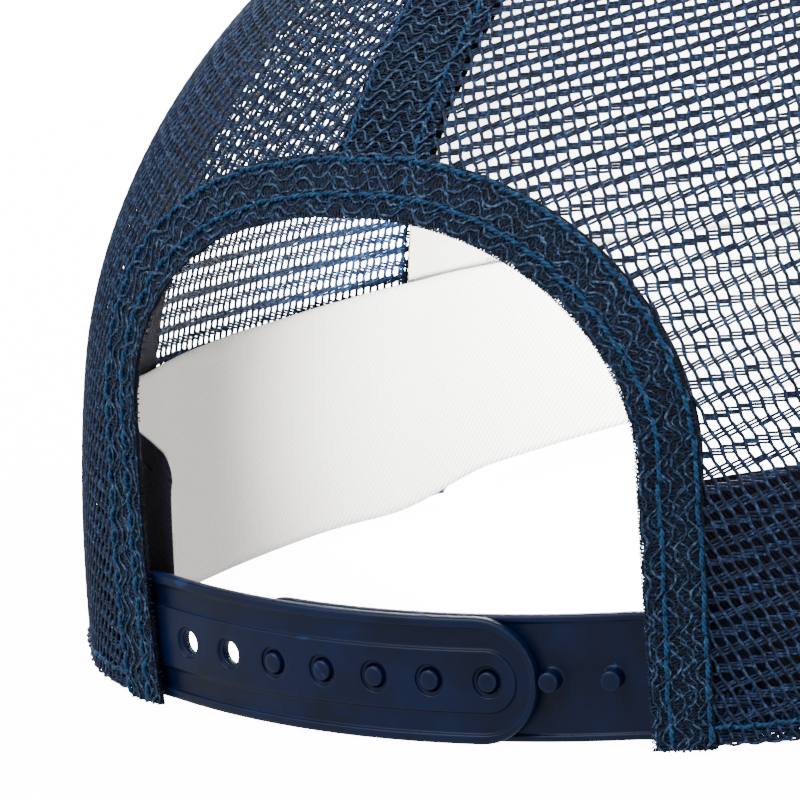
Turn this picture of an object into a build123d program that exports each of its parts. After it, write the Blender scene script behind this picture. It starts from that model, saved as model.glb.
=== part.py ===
from build123d import *
import os
from math import asin, atan2, cos, pi, radians, sin, sqrt

os.makedirs("parts", exist_ok=True)

# Trucker mesh cap. Millimetres. The origin lies on the crown's axis in the plane of the hem,
# +Z is up, the visor points along -Y, and the wearer's left is +X.
# Arc lengths run along the hem from centre back, positive towards the wearer's left.

# Crown: plan of the hem on the outer face of the mesh, as four tangent arcs on each side
half_girth = 302.0
back_radius = 130.0
arch_half_width = 44.8
back_arc_past_arch = 2.7
corner_radius = 59.0
corner_turn = radians(79)
side_turn = radians(106)
apex_from_back = 106.0

# Crown: rise of the sides, back and front
crown_height = 127.0
side_break, side_power = 5.0, 2.1
back_break, back_power = 47.0, 1.93
front_break, front_power = 68.0, 2.3
crown_flat = 0.9
section_points = 32
section_rows = 11

# Fabric layers, given as depths below the outer face of the mesh
mesh_thickness = 1.2
cover_thickness = 0.8
foam_thickness = 2.6
tape_thickness = 0.6
tape_width = 17.0
sweatband_thickness = 1.2
binding_proud = 0.3
layer_gap = 0.2

# Panel seams
side_seam_arc = 104.0
front_seam_arc = 193.0

# Rear opening
arch_height = 76.7
arch_spring = 43.0
arch_power_left = 2.4
arch_power_right = 2.0
binding_width = 10.0

# Sweatband
sweatband_height = 39.0
sweatband_lift = 0.5
sweatband_left_hide = 2.5
sweatband_right_hide = 2.7

# Visor
visor_arc = 196.0
visor_reach = 70.0
visor_ledge = 1.5
visor_flare = 6.5
visor_power = 2.35
visor_bend_radius = 255.0
visor_pitch = radians(2)
visor_end_lift = 2.6
board_thickness = 2.0
visor_cover_thickness = 0.8
board_gap = 0.1
visor_hem = 1.3
visor_tuck = 2.8

# Snap closure
strap_height = 19.2
strap_lift = 0.4
strap_plate = 1.3
strap_depth = 2.0
strap_rim = 0.6
strap_rim_width = 1.5
plateau_height = 9.4
plateau_rise = 0.5
peg_plate = 1.2
peg_rim = 0.4
peg_rim_width = 1.0
strap_gap = 0.1
hole_pitch = 9.75
hole_count = 7
engaged_pegs = 5
first_hole_margin = 4.4
free_peg_margin = 2.5
peg_radius = 1.55
peg_taper = 6.0
peg_clearance = 0.25
recess_margin = 0.6
recess_depth = 0.4
peg_proud = 0.3
tip_overrun = 7.9
pivot_inset = 2.0
tab_length = 18.0
tab_gap = 0.15

# Button
button_radius = 8.0
button_height = 4.2
rivet_radius = 1.5
rivet_gap = 0.2
washer_radius = 8.0
washer_thickness = 0.8
tape_end_radius = 18.5
foam_end_radius = 9.0

# Depths that follow from the layers
tape_depth = mesh_thickness + layer_gap
foam_depth = cover_thickness + layer_gap
front_tape_depth = foam_depth + foam_thickness + layer_gap
peg_depth = strap_depth + strap_plate + strap_gap + peg_rim
sweatband_depth = peg_depth + peg_plate + 2 * layer_gap
visor_thickness = board_thickness + 2 * board_gap + 2 * visor_cover_thickness
hole_radius = peg_radius + peg_clearance
recess_radius = hole_radius + recess_margin
far = 3 * crown_height


def arc_end(radius, start, end):
    """Plan step along a tangent arc whose outward normal turns from start to end."""
    return radius * (sin(end) - sin(start)), radius * (cos(end) - cos(start))


# The side and front radii close the half plan on the centre line with the stated girth
back_half_arc = arch_half_width + back_arc_past_arch
back_turn = back_half_arc / back_radius
to_corner_x = arc_end(back_radius, 0, back_turn)[0] + arc_end(corner_radius, back_turn, corner_turn)[0]
to_corner_arc = back_half_arc + corner_radius * (corner_turn - back_turn)
side_share = sin(side_turn) - sin(corner_turn)
front_from_side = side_share / sin(side_turn)
front_base = to_corner_x / sin(side_turn)
side_radius = (half_girth - to_corner_arc - front_base * (pi - side_turn)) / (
    side_turn - corner_turn + front_from_side * (pi - side_turn)
)
front_radius = front_base + front_from_side * side_radius
hem_arcs = [
    (back_radius, 0.0, back_turn),
    (corner_radius, back_turn, corner_turn),
    (side_radius, corner_turn, side_turn),
    (front_radius, side_turn, pi),
]


def hem_point(arc, inset=0.0):
    """Plan point at an arc length from centre back, moved inwards by an inset."""
    side = 1 if arc >= 0 else -1
    left = abs(arc)
    x, y = 0.0, apex_from_back
    for radius, start, end in hem_arcs:
        turn = min(start + left / radius, end)
        dx, dy = arc_end(radius, start, turn)
        x, y = x + dx, y + dy
        left -= radius * (turn - start)
        if left <= 1e-9:
            break
    return side * (x - inset * sin(turn)), y - inset * cos(turn)


def rise(height, start, power, top):
    """Share of the hem's plan that is left at a height: 1 up to start, 0 at the top."""
    share = max(0.0, (height - start) / (top - start))
    return (1 - share**power) ** (1 / power)


def crown_points(height, inset):
    """Plan points of the crown's section at a height, a distance inside its outer face."""
    top = crown_height - inset
    across = rise(height, side_break, side_power, top)
    points = []
    for index in range(section_points):
        arc = 2 * half_girth * index / section_points
        x, y = hem_point(arc if arc <= half_girth else arc - 2 * half_girth, inset)
        start, power = (back_break, back_power) if y > 0 else (front_break, front_power)
        points.append((x * across, y * rise(height, start, power, top)))
    return points


def crown_form(inset):
    """Solid dome whose skin lies a distance inside the crown's outer face."""
    top = crown_height - crown_flat - inset
    with BuildPart() as form:
        for row in range(section_rows + 1):
            height = -8 + (top + 8) * sin(pi / 2 * row / section_rows)
            with BuildSketch(Plane.XY.offset(height)):
                with BuildLine():
                    Spline(*crown_points(height, inset), periodic=True)
                make_face()
        loft()
    return form.part


def crown_layer(depth, thickness):
    """Shell of fabric between two depths, cut flat at the hem."""
    with BuildPart() as layer:
        add(crown_form(depth))
        add(crown_form(depth + thickness), mode=Mode.SUBTRACT)
        split(bisect_by=Plane.XY, keep=Keep.TOP)
    return layer.part


def bearing(arc):
    """Direction of a hem point seen from the crown's axis, from centre back."""
    x, y = hem_point(arc)
    return atan2(x, y)


def sector(start, end):
    """Upright wedge about the crown's axis between two directions."""
    rays = [start + (end - start) * step / 4 for step in range(5)]
    with BuildPart() as wedge:
        with BuildSketch(Plane.XY.offset(-far)):
            with BuildLine():
                Polyline((0, 0), *[(far * sin(a), far * cos(a)) for a in rays], close=True)
            make_face()
        extrude(amount=2 * far)
    return wedge.part


def axis_post(radius):
    """Upright cylinder about the crown's axis, for clearing the middle of the top."""
    with BuildPart() as post:
        with BuildSketch(Plane.XY):
            Circle(radius)
        extrude(amount=far)
    return post.part


def arch_block(grow):
    """Block through the back wall with the outline of the rear opening, grown by a margin."""
    half, top = arch_half_width + grow, arch_height + grow
    steps = 9

    def crown_arc(side, power):
        angles = [pi / 2 * step / steps for step in range(steps + 1)]
        return [
            (side * half * cos(a) ** (2 / power), arch_spring + (top - arch_spring) * sin(a) ** (2 / power))
            for a in angles
        ]

    left, right = crown_arc(1, arch_power_left), crown_arc(-1, arch_power_right)
    with BuildPart() as block:
        with BuildSketch(Plane.XZ.offset(-far)):
            with BuildLine():
                Spline(*left, tangents=[(0, 1), (-1, 0)])
                Spline(*reversed(right), tangents=[(-1, 0), (0, -1)])
                Polyline(right[0], (-half, -far), (half, -far), left[0])
            make_face()
        extrude(amount=far - 10)
    return block.part


# Visor geometry: a sheet bent about an axis that dips towards the front
visor_root = hem_point(visor_arc)
visor_end_drop = visor_bend_radius - sqrt(visor_bend_radius**2 - visor_root[0] ** 2)
visor_crest = visor_end_lift + visor_thickness + visor_end_drop
visor_plane = Plane(
    origin=(0, visor_root[1], 0),
    x_dir=(1, 0, 0),
    z_dir=(0, -cos(visor_pitch), -sin(visor_pitch)),
)


def bent_slab(crest, thickness):
    """Bent slab that runs forward from the visor's root; its upper face is at the crest."""
    half = 1.4 * visor_root[0]
    drop = visor_bend_radius - sqrt(visor_bend_radius**2 - half**2)
    with BuildPart() as slab:
        with BuildSketch(visor_plane):
            with BuildLine():
                ThreePointArc((-half, crest - drop), (0, crest), (half, crest - drop))
                Line((half, crest - drop), (half, crest - drop - thickness))
                if thickness < crest:
                    ThreePointArc(
                        (half, crest - drop - thickness),
                        (0, crest - thickness),
                        (-half, crest - drop - thickness),
                    )
                else:
                    Line((half, crest - drop - thickness), (-half, crest - drop - thickness))
                Line((-half, crest - drop - thickness), (-half, crest - drop))
            make_face()
        extrude(amount=far / 2)
    return slab.part


def visor_block(margin):
    """Upright block with the visor's plan, drawn in by a margin on every edge."""
    half = visor_root[0] + visor_ledge - margin
    root = visor_root[1] - margin
    reach = hem_point(half_girth)[1] - visor_reach + margin
    angles = [pi * step / 24 for step in range(25)]
    outline = [
        (
            half * (1 if cos(a) >= 0 else -1) * abs(cos(a)) ** (2 / visor_power) + visor_flare * sin(2 * a),
            root + (reach - root) * sin(a) ** (2 / visor_power),
        )
        for a in angles
    ]
    hem = [hem_point(half_girth * i / section_points, visor_tuck - margin) for i in range(1 - section_points, section_points + 1)]
    with BuildPart() as block:
        with BuildSketch(Plane.XY.offset(-far)):
            with BuildLine():
                Spline(*outline, tangents=[(0, -1), (0, 1)])
                Line(outline[-1], outline[0])
            make_face()
            with BuildLine():
                Spline(*hem, periodic=True)
            make_face(mode=Mode.SUBTRACT)
        extrude(amount=2 * far)
    return block.part


def cut_layer(layer, wedge, cutters):
    """Piece of a fabric layer inside a wedge, less its cutters."""
    with BuildPart() as piece:
        add(layer)
        add(wedge, mode=Mode.INTERSECT)
        for cutter in cutters:
            add(cutter, mode=Mode.SUBTRACT)
    return piece.part


def save(name, shape):
    """Label a finished piece and write it."""
    shape.label = name
    export_step(shape, f"parts/{name}.step")


# Cutters shared by the crown's pieces
side_seam, front_seam = bearing(side_seam_arc), bearing(front_seam_arc)
arch_opening = arch_block(0)
arch_with_binding = arch_block(binding_width)
rivet_clearance = axis_post(rivet_radius + rivet_gap)
under_visor_top = bent_slab(visor_crest + layer_gap, far / 4)
under_visor_foot = bent_slab(visor_crest - visor_thickness, far / 4)

# Mesh panels: two behind the ears and two at the back
mesh_layer = crown_layer(0, mesh_thickness)
mesh_sectors = {
    "left_back_mesh": (0, side_seam),
    "right_back_mesh": (-side_seam, 0),
    "left_side_mesh": (side_seam, front_seam),
    "right_side_mesh": (-front_seam, -side_seam),
}
for name, (start, end) in mesh_sectors.items():
    cutters = [rivet_clearance, under_visor_top]
    if name.endswith("back_mesh"):
        cutters = [rivet_clearance, arch_with_binding]
    save(name, cut_layer(mesh_layer, sector(start, end), cutters))

# Front panel: an outer fabric with a foam lining that stiffens it
front_wedge = sector(front_seam, 2 * pi - front_seam)
front_cutters = [under_visor_top, rivet_clearance]
save("front_panel_cover", cut_layer(crown_layer(0, cover_thickness), front_wedge, front_cutters))
foam_cutters = [under_visor_top, axis_post(foam_end_radius)]
save("front_panel_foam", cut_layer(crown_layer(foam_depth, foam_thickness), front_wedge, foam_cutters))

# Binding sewn round the rear opening
binding_layer = crown_layer(-binding_proud, mesh_thickness + binding_proud)
save("arch_binding", cut_layer(binding_layer, arch_with_binding, [arch_opening]))


# Seam tapes inside the crown, one along each seam
def tape_strip(direction):
    """Upright strip of the tape's width that runs out from the crown's axis."""
    half = tape_width / 2
    corners = [(-half, 0), (half, 0), (half, far), (-half, far)]
    turned = [(x * cos(direction) + y * sin(direction), y * cos(direction) - x * sin(direction)) for x, y in corners]
    with BuildPart() as strip:
        with BuildSketch(Plane.XY):
            with BuildLine():
                Polyline(*turned, close=True)
            make_face()
        extrude(amount=far)
    return strip.part


tape_layer = crown_layer(tape_depth, tape_thickness)
front_tape_layer = crown_layer(front_tape_depth, tape_thickness)
tape_middle = axis_post(tape_end_radius)
tapes = {
    "back_seam_tape": (tape_layer, 0, [tape_middle, arch_opening]),
    "left_side_seam_tape": (tape_layer, side_seam, [tape_middle]),
    "right_side_seam_tape": (tape_layer, -side_seam, [tape_middle]),
    "left_front_seam_tape": (front_tape_layer, front_seam, [tape_middle, under_visor_top]),
    "right_front_seam_tape": (front_tape_layer, -front_seam, [tape_middle, under_visor_top]),
}
for name, (layer, direction, cutters) in tapes.items():
    save(name, cut_layer(layer, tape_strip(direction), cutters))

# Sweatband: runs inside the hem from one side of the rear opening round to the other
with BuildPart() as sweatband:
    add(crown_layer(sweatband_depth, sweatband_thickness))
    split(bisect_by=Plane.XY.offset(sweatband_lift), keep=Keep.TOP)
    split(bisect_by=Plane.XY.offset(sweatband_height), keep=Keep.BOTTOM)
    left_end = bearing(arch_half_width + sweatband_left_hide)
    right_end = bearing(arch_half_width + sweatband_right_hide)
    add(sector(-right_end, left_end), mode=Mode.SUBTRACT)
    add(under_visor_foot, mode=Mode.SUBTRACT)
save("sweatband", sweatband.part)

# Visor: a moulded board sewn between two covers
board_space = [visor_block(visor_hem), bent_slab(visor_crest - visor_cover_thickness, board_thickness + 2 * board_gap)]
with BuildPart() as visor_board:
    add(visor_block(visor_hem + board_gap))
    add(bent_slab(visor_crest - visor_cover_thickness - board_gap, board_thickness), mode=Mode.INTERSECT)
save("visor_board", visor_board.part)


def visor_cover(crest):
    """Half of the visor's fabric shell, hollowed for the board."""
    with BuildPart() as hollow:
        add(board_space[0])
        add(board_space[1], mode=Mode.INTERSECT)
    with BuildPart() as cover:
        add(visor_block(0))
        add(bent_slab(crest, visor_thickness / 2), mode=Mode.INTERSECT)
        add(hollow.part, mode=Mode.SUBTRACT)
    return cover.part


save("visor_top_cover", visor_cover(visor_crest))
save("visor_under_cover", visor_cover(visor_crest - visor_thickness / 2))

# Button on the crown, riveted through the panels to a washer inside
crown_top = crown_height - crown_flat
button_dome = (button_radius**2 + button_height**2) / (2 * button_height)
with BuildPart() as button_cap:
    with BuildSketch(Plane.XZ):
        with BuildLine():
            base = crown_top + layer_gap
            lean = asin(button_radius / button_dome) / 2
            shoulder = (button_dome * sin(lean), base + button_height - button_dome * (1 - cos(lean)))
            Line((0, base), (button_radius, base))
            ThreePointArc((button_radius, base), shoulder, (0, base + button_height))
            Line((0, base + button_height), (0, base))
        make_face()
    revolve(axis=Axis.Z)
    with Locations((0, 0, base)):
        Cylinder(rivet_radius + 0.05, 2.0, mode=Mode.SUBTRACT)
save("button_cap", button_cap.part)

washer_top = crown_top - mesh_thickness - layer_gap
with BuildPart() as button_washer:
    with BuildSketch(Plane.XY.offset(washer_top)):
        Circle(washer_radius)
        Circle(rivet_radius + 0.05, mode=Mode.SUBTRACT)
    extrude(amount=-washer_thickness)
save("button_washer", button_washer.part)

with BuildPart() as button_rivet:
    with BuildSketch(Plane.XY.offset(washer_top - washer_thickness)):
        Circle(rivet_radius)
    extrude(amount=crown_top + layer_gap + 0.9 - washer_top + washer_thickness)
    with BuildSketch(Plane.XY.offset(washer_top - washer_thickness - 0.1)):
        Circle(2 * rivet_radius)
    extrude(amount=-0.6)
    with BuildSketch(Plane.XY.offset(washer_top - washer_thickness)):
        Circle(rivet_radius)
    extrude(amount=-0.2)
save("button_rivet", button_rivet.part)

# Snap closure: both straps are bands about the centre of the back arc
strap_centre = (0, apex_from_back - back_radius)
strap_middle = strap_lift + strap_height / 2


def strap_point(arc, depth):
    """Plan point on the closure at an arc length from centre back and a depth below the mesh."""
    angle = arc / back_radius
    radius = back_radius - depth
    return strap_centre[0] + radius * sin(angle), strap_centre[1] + radius * cos(angle)


def strap_plane(arc, depth):
    """Plane on the closure facing out of the cap, at the middle of the strap's height."""
    angle = arc / back_radius
    x, y = strap_point(arc, depth)
    return Plane(origin=(x, y, strap_middle), x_dir=(cos(angle), -sin(angle), 0), z_dir=(sin(angle), cos(angle), 0))


def band(depth, thickness, start, end, height):
    """Stretch of strap between two arc lengths, centred on the strap's height."""
    middle = (start + end) / 2
    inner = depth + thickness
    with BuildPart() as piece:
        with BuildSketch(Plane.XY.offset(strap_middle - height / 2)):
            with BuildLine():
                ThreePointArc(strap_point(start, depth), strap_point(middle, depth), strap_point(end, depth))
                Line(strap_point(end, depth), strap_point(end, inner))
                ThreePointArc(strap_point(end, inner), strap_point(middle, inner), strap_point(start, inner))
                Line(strap_point(start, inner), strap_point(start, depth))
            make_face()
        extrude(amount=height)
    return piece.part


def rounding(arc, side, height):
    """Cutter outline that keeps everything on one side of an arc length and rounds the end."""
    reach = 2 * half_girth
    with BuildPart() as keeper:
        with BuildSketch(strap_plane(arc, strap_depth)):
            Circle(height / 2)
            with Locations((side * reach / 2, 0)):
                Rectangle(reach, 2 * strap_height)
        extrude(amount=half_girth / 4, both=True)
    return keeper.part


def rounded_band(depth, thickness, start, tip, height):
    """Stretch of strap from a square start to a tip rounded over its full height."""
    towards_start = 1 if start > tip else -1
    centre = tip + towards_start * height / 2
    with BuildPart() as piece:
        add(band(depth, thickness, start, tip, height))
        add(rounding(centre, towards_start, height), mode=Mode.INTERSECT)
    return piece.part


def hinge_post(arc, depth, thickness):
    """Rounded end of a strap about its bend line."""
    x, y = strap_point(arc, depth + thickness / 2)
    with BuildPart() as post:
        with BuildSketch(Plane.XY.offset(strap_lift)):
            with Locations((x, y)):
                Circle(thickness / 2)
        extrude(amount=strap_height)
    return post.part


pivot_arc = arch_half_width - pivot_inset
hole_arcs = [pivot_arc - first_hole_margin - hole_pitch * index for index in range(hole_count)]
last_hole_arc = min(hole_arcs)
free_pegs = int((pivot_arc + last_hole_arc - free_peg_margin) / hole_pitch)
peg_arcs = [last_hole_arc + hole_pitch * index for index in range(-free_pegs, engaged_pegs)]
socket_tip = last_hole_arc - tip_overrun
peg_tip = max(peg_arcs) + tip_overrun
rim_start = pivot_arc - 1.0

with BuildPart() as socket_strap:
    add(rounded_band(strap_depth, strap_plate, pivot_arc, socket_tip, strap_height))
    add(hinge_post(pivot_arc, strap_depth, strap_plate))
    with BuildPart(mode=Mode.PRIVATE) as rim:
        add(rounded_band(strap_depth - strap_rim, strap_rim + 0.1, rim_start, socket_tip, strap_height))
        add(
            rounded_band(
                strap_depth - 2 * strap_rim,
                3 * strap_rim,
                rim_start + 1,
                socket_tip + strap_rim_width,
                strap_height - 2 * strap_rim_width,
            ),
            mode=Mode.SUBTRACT,
        )
    add(rim.part)
    plateau_end = max(hole_arcs) + plateau_height / 2
    add(
        rounded_band(
            strap_depth - plateau_rise, plateau_rise + 0.1, min(pivot_arc - 1.5, plateau_end),
            last_hole_arc - plateau_height / 2, plateau_height,
        )
    )
    for arc in hole_arcs:
        with BuildSketch(strap_plane(arc, strap_depth - plateau_rise)):
            Circle(recess_radius)
        extrude(amount=-recess_depth, mode=Mode.SUBTRACT)
        with BuildSketch(strap_plane(arc, strap_depth)):
            Circle(hole_radius)
        extrude(amount=3 * strap_plate, both=True, mode=Mode.SUBTRACT)
save("socket_strap", socket_strap.part)

with BuildPart() as peg_strap:
    add(rounded_band(peg_depth, peg_plate, -pivot_arc, peg_tip, strap_height))
    add(hinge_post(-pivot_arc, peg_depth, peg_plate))
    with BuildPart(mode=Mode.PRIVATE) as rim:
        add(rounded_band(peg_depth - peg_rim, peg_rim + 0.1, -rim_start, peg_tip, strap_height))
        add(
            rounded_band(
                peg_depth - 2 * peg_rim,
                3 * peg_rim,
                -rim_start - 1,
                peg_tip - peg_rim_width,
                strap_height - 2 * peg_rim_width,
            ),
            mode=Mode.SUBTRACT,
        )
    add(rim.part)
    peg_top = strap_depth - plateau_rise - peg_proud
    for arc in peg_arcs:
        with BuildSketch(strap_plane(arc, peg_depth + peg_plate / 2)):
            Circle(peg_radius)
        extrude(amount=peg_depth + peg_plate / 2 - peg_top, taper=peg_taper)
save("peg_strap", peg_strap.part)


def strap_tab(side, depth, thickness):
    """Sewn end of a strap, which follows the corner of the crown between mesh and sweatband."""
    start = pivot_arc + thickness / 2 + tab_gap
    end = start + tab_length
    outer = [hem_point(side * (start + (end - start) * step / 4), depth) for step in range(5)]
    inner = [hem_point(side * (start + (end - start) * step / 4), depth + thickness) for step in range(5)]
    with BuildPart() as tab:
        with BuildSketch(Plane.XY.offset(strap_lift)):
            with BuildLine():
                Spline(*outer)
                Line(outer[-1], inner[-1])
                Spline(*reversed(inner))
                Line(inner[0], outer[0])
            make_face()
        extrude(amount=strap_height)
    return tab.part


save("socket_strap_tab", strap_tab(1, strap_depth, strap_plate))
save("peg_strap_tab", strap_tab(-1, peg_depth, peg_plate))
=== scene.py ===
"""Looks of the trucker mesh cap. Lengths are millimetres until a mesh is made."""

from math import asin, cos, pi, radians, sin, sqrt, tan

import bmesh
import bpy
import numpy as np
from mathutils import Matrix, Vector


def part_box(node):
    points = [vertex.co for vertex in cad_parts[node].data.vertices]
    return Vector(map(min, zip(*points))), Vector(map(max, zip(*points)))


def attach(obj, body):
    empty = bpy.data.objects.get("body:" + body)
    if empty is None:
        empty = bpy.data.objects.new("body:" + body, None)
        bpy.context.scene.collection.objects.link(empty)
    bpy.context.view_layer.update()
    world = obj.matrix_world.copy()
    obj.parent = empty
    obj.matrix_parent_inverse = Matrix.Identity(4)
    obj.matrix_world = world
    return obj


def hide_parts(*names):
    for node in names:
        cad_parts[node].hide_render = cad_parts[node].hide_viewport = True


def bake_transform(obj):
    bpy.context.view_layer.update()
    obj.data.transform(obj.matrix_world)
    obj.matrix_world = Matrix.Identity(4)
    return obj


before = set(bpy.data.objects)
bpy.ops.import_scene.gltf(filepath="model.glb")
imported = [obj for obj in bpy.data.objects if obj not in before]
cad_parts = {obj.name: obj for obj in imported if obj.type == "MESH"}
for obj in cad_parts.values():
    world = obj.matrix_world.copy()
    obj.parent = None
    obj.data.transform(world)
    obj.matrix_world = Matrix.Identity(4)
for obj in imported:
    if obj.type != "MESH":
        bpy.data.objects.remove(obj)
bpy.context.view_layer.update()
MM = 0.001
random = np.random.default_rng(11)

# Crown, as in the CAD model
HALF_GIRTH = 302.0
CROWN_HEIGHT = 127.0
CROWN_FLAT = 0.9
SIDE_BREAK, SIDE_POWER = 5.0, 2.1
BACK_BREAK, BACK_POWER = 47.0, 1.93
FRONT_BREAK, FRONT_POWER = 68.0, 2.3
APEX = 106.0
HEM_ARCS = [
    (130.0, 0.0, 47.5 / 130.0),
    (59.0, 47.5 / 130.0, radians(79)),
    (186.55, radians(79), radians(106)),
    (82.69, radians(106), pi),
]
SIDE_SEAM_ARC, FRONT_SEAM_ARC = 104.0, 193.0
SIDES = ((1, "left"), (-1, "right"))
PANEL_TOP = 126.6
HEM_FOLD = 8.5

# Rear opening
ARCH_HALF, ARCH_TOP, ARCH_SPRING = 44.8, 76.7, 43.0
ARCH_POWER_LEFT, ARCH_POWER_RIGHT = 2.4, 2.0
# the mesh panels are cut where the binding hides their edge
PANEL_CUT = 7.6

# Visor
VISOR_ARC, VISOR_REACH = 196.0, 70.0
VISOR_LEDGE, VISOR_FLARE, VISOR_POWER = 1.5, 6.5, 2.35
VISOR_BEND, VISOR_PITCH = 255.0, radians(2)
VISOR_CREST, VISOR_THICK, VISOR_TUCK = 19.03, 3.8, 2.8
VISOR_ROWS = [5.0 + 6.6 * row for row in range(8)]

# Snap closure
STRAP_MIDDLE, STRAP_HALF, STRAP_DROOP = 10.0, 9.6, 0.9
SOCKET_BACK, PEG_BACK = 3.3, 5.0
HOLE_PITCH, HOLE_RADIUS, RECESS_RADIUS = 9.75, 1.8, 2.4
PEG_RADIUS, PEG_TOP = 1.55, 1.15
HOLE_ARCS = [38.4 - HOLE_PITCH * i for i in range(7)]
PEG_ARCS = [39.6 - HOLE_PITCH * i for i in range(7)]
PIVOT_ARC = 42.8


# ---------------------------------------------------------------- surfaces


def stacked(*values):
    """Coordinates from values that are broadcast to one shape."""
    return np.stack(np.broadcast_arrays(*values), -1)


def from_axis(points):
    return np.hypot(points[..., 0], points[..., 1])


def hem_tables():
    """Plan of the hem for arcs from one side of centre front to the other."""
    arcs = np.linspace(0, HALF_GIRTH, 1209)
    rows = []
    for arc in arcs:
        x, y, left, turn = 0.0, APEX, arc, 0.0
        for radius, start, end in HEM_ARCS:
            turn = min(start + left / radius, end)
            x += radius * (sin(turn) - sin(start))
            y += radius * (cos(turn) - cos(start))
            left -= radius * (turn - start)
            if left <= 1e-9:
                break
        rows.append((x, y, turn))
    x, y, turn = np.array(rows).T
    join = np.concatenate
    return (
        join([-arcs[:0:-1], arcs]),
        join([-x[:0:-1], x]),
        join([y[:0:-1], y]),
        join([-turn[:0:-1], turn]),
    )


TABLE_ARC, TABLE_X, TABLE_Y, TABLE_TURN = hem_tables()


def wrap(arc):
    """Arc lengths past centre front go on from the other side."""
    return (np.asarray(arc, float) + HALF_GIRTH) % (2 * HALF_GIRTH) - HALF_GIRTH


def hem_xy(arc, depth=0.0):
    arc = wrap(arc)
    turn = np.interp(arc, TABLE_ARC, TABLE_TURN)
    x = np.interp(arc, TABLE_ARC, TABLE_X) - depth * np.sin(turn)
    y = np.interp(arc, TABLE_ARC, TABLE_Y) - depth * np.cos(turn)
    return x, y


def rise(z, start, power, top):
    share = np.clip((z - start) / (top - start), 0, 1)
    return (1 - share**power) ** (1 / power)


def crown(arc, z, depth=0.0):
    """Points of the crown's surface, a depth below the mesh's outer face."""
    arc, z, depth = np.broadcast_arrays(np.asarray(arc, float), z, depth)
    x, y = hem_xy(arc, depth)
    top = CROWN_HEIGHT - depth
    low = np.minimum(z, top)
    x = x * rise(low, SIDE_BREAK, SIDE_POWER, top)
    back = rise(low, BACK_BREAK, BACK_POWER, top)
    front = rise(low, FRONT_BREAK, FRONT_POWER, top)
    y = y * np.where(y > 0, back, front)
    return stacked(x, y, np.minimum(low, top - CROWN_FLAT))


def bearing(points):
    return np.arctan2(points[..., 0], points[..., 1])


def seam_bearing(arc):
    x, y = hem_xy(arc)
    return float(np.arctan2(x, y))


def ease(value):
    """Smooth step from 0 to 1."""
    share = np.clip(value, 0, 1)
    return share * share * (3 - 2 * share)


def heights(count, low=0.0, high=126.9):
    """Heights that close up towards the top of the crown."""
    return high * np.sin(np.linspace(asin(low / high), pi / 2, count))


def arc_on_seam(seam_arc, z, depth):
    """Arc whose point at each height lies in the seam's upright plane."""
    dense = seam_arc + np.linspace(-30, 30, 121)
    goal = seam_bearing(seam_arc)
    out = []
    for level in np.atleast_1d(z):
        angle = np.unwrap(bearing(crown(dense, min(level, 125.5), depth)))
        angle += 2 * pi * np.round((goal - angle[60]) / (2 * pi))
        out.append(np.interp(goal, angle, dense))
    return np.array(out)


def back_point(x, z, depth):
    """Point of the crown's back with this x and height."""
    arcs = np.linspace(-128, 128, 1025)
    top = CROWN_HEIGHT - depth
    side = np.maximum(rise(z, SIDE_BREAK, SIDE_POWER, top), 1e-3)
    arc = np.interp(x / side, hem_xy(arcs, depth)[0], arcs)
    return crown(arc, z, depth)


def visor_top(x, y, lift=0.0):
    bend = VISOR_BEND - np.sqrt(VISOR_BEND**2 - np.minimum(np.abs(x), 120) ** 2)
    root_y = float(hem_xy(VISOR_ARC)[1])
    return VISOR_CREST - bend - (root_y - y) * tan(VISOR_PITCH) + lift


# ---------------------------------------------------------------- meshes


def make_mesh(name, points, faces, material, uv=None):
    """Object from vertices in millimetres and a list or array of faces."""
    mesh = bpy.data.meshes.new(name)
    points = np.asarray(points, float).reshape(-1, 3) * MM
    faces = faces if isinstance(faces, list) else faces.tolist()
    mesh.from_pydata(points.tolist(), [], faces)
    mesh.update()
    if uv is not None:
        loops = np.zeros(len(mesh.loops), np.int32)
        mesh.loops.foreach_get("vertex_index", loops)
        layer = mesh.uv_layers.new(name="metric")
        layer.data.foreach_set("uv", np.asarray(uv, float)[loops].ravel())
    mesh.polygons.foreach_set("use_smooth", [True] * len(mesh.polygons))
    mesh.materials.append(material)
    obj = bpy.data.objects.new(name, mesh)
    bpy.context.scene.collection.objects.link(obj)
    return obj


def grid_faces(rows, columns, start=0, close=False):
    r, c = np.meshgrid(np.arange(rows - 1), np.arange(columns - (0 if close else 1)), indexing="ij")
    a = r * columns + c
    b = r * columns + (c + 1) % columns
    return (stacked(a, b, b + columns, a + columns).reshape(-1, 4) + start).tolist()


def slab(name, outer, inner, material, uv=None, flip=False):
    """Closed sheet between two grids of the same size."""
    rows, columns = outer.shape[:2]
    count = rows * columns
    faces = [f[::-1] for f in grid_faces(rows, columns)]
    faces += grid_faces(rows, columns, count)
    index = np.arange(count).reshape(rows, columns)
    rim = np.concatenate([index[0], index[1:, -1], index[-1, -2::-1], index[-2:0:-1, 0]])
    for a, b in zip(rim, np.roll(rim, -1)):
        faces.append([int(a), int(b), int(b) + count, int(a) + count])
    if flip:
        faces = [f[::-1] for f in faces]
    points = np.concatenate([outer.reshape(-1, 3), inner.reshape(-1, 3)])
    if uv is not None:
        uv = np.concatenate([uv.reshape(-1, 2)] * 2)
    return make_mesh(name, points, faces, material, uv)


def unit(vectors):
    return vectors / np.maximum(np.linalg.norm(vectors, axis=-1, keepdims=True), 1e-9)


def outward(points):
    """Directions away from a point low inside the crown."""
    return unit(points - np.array([0, 0, 35.0]))


def run_along(path):
    """Distance of each point of a path from its start."""
    return np.concatenate([[0], np.cumsum(np.linalg.norm(np.diff(path, axis=0), axis=1))])


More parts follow.
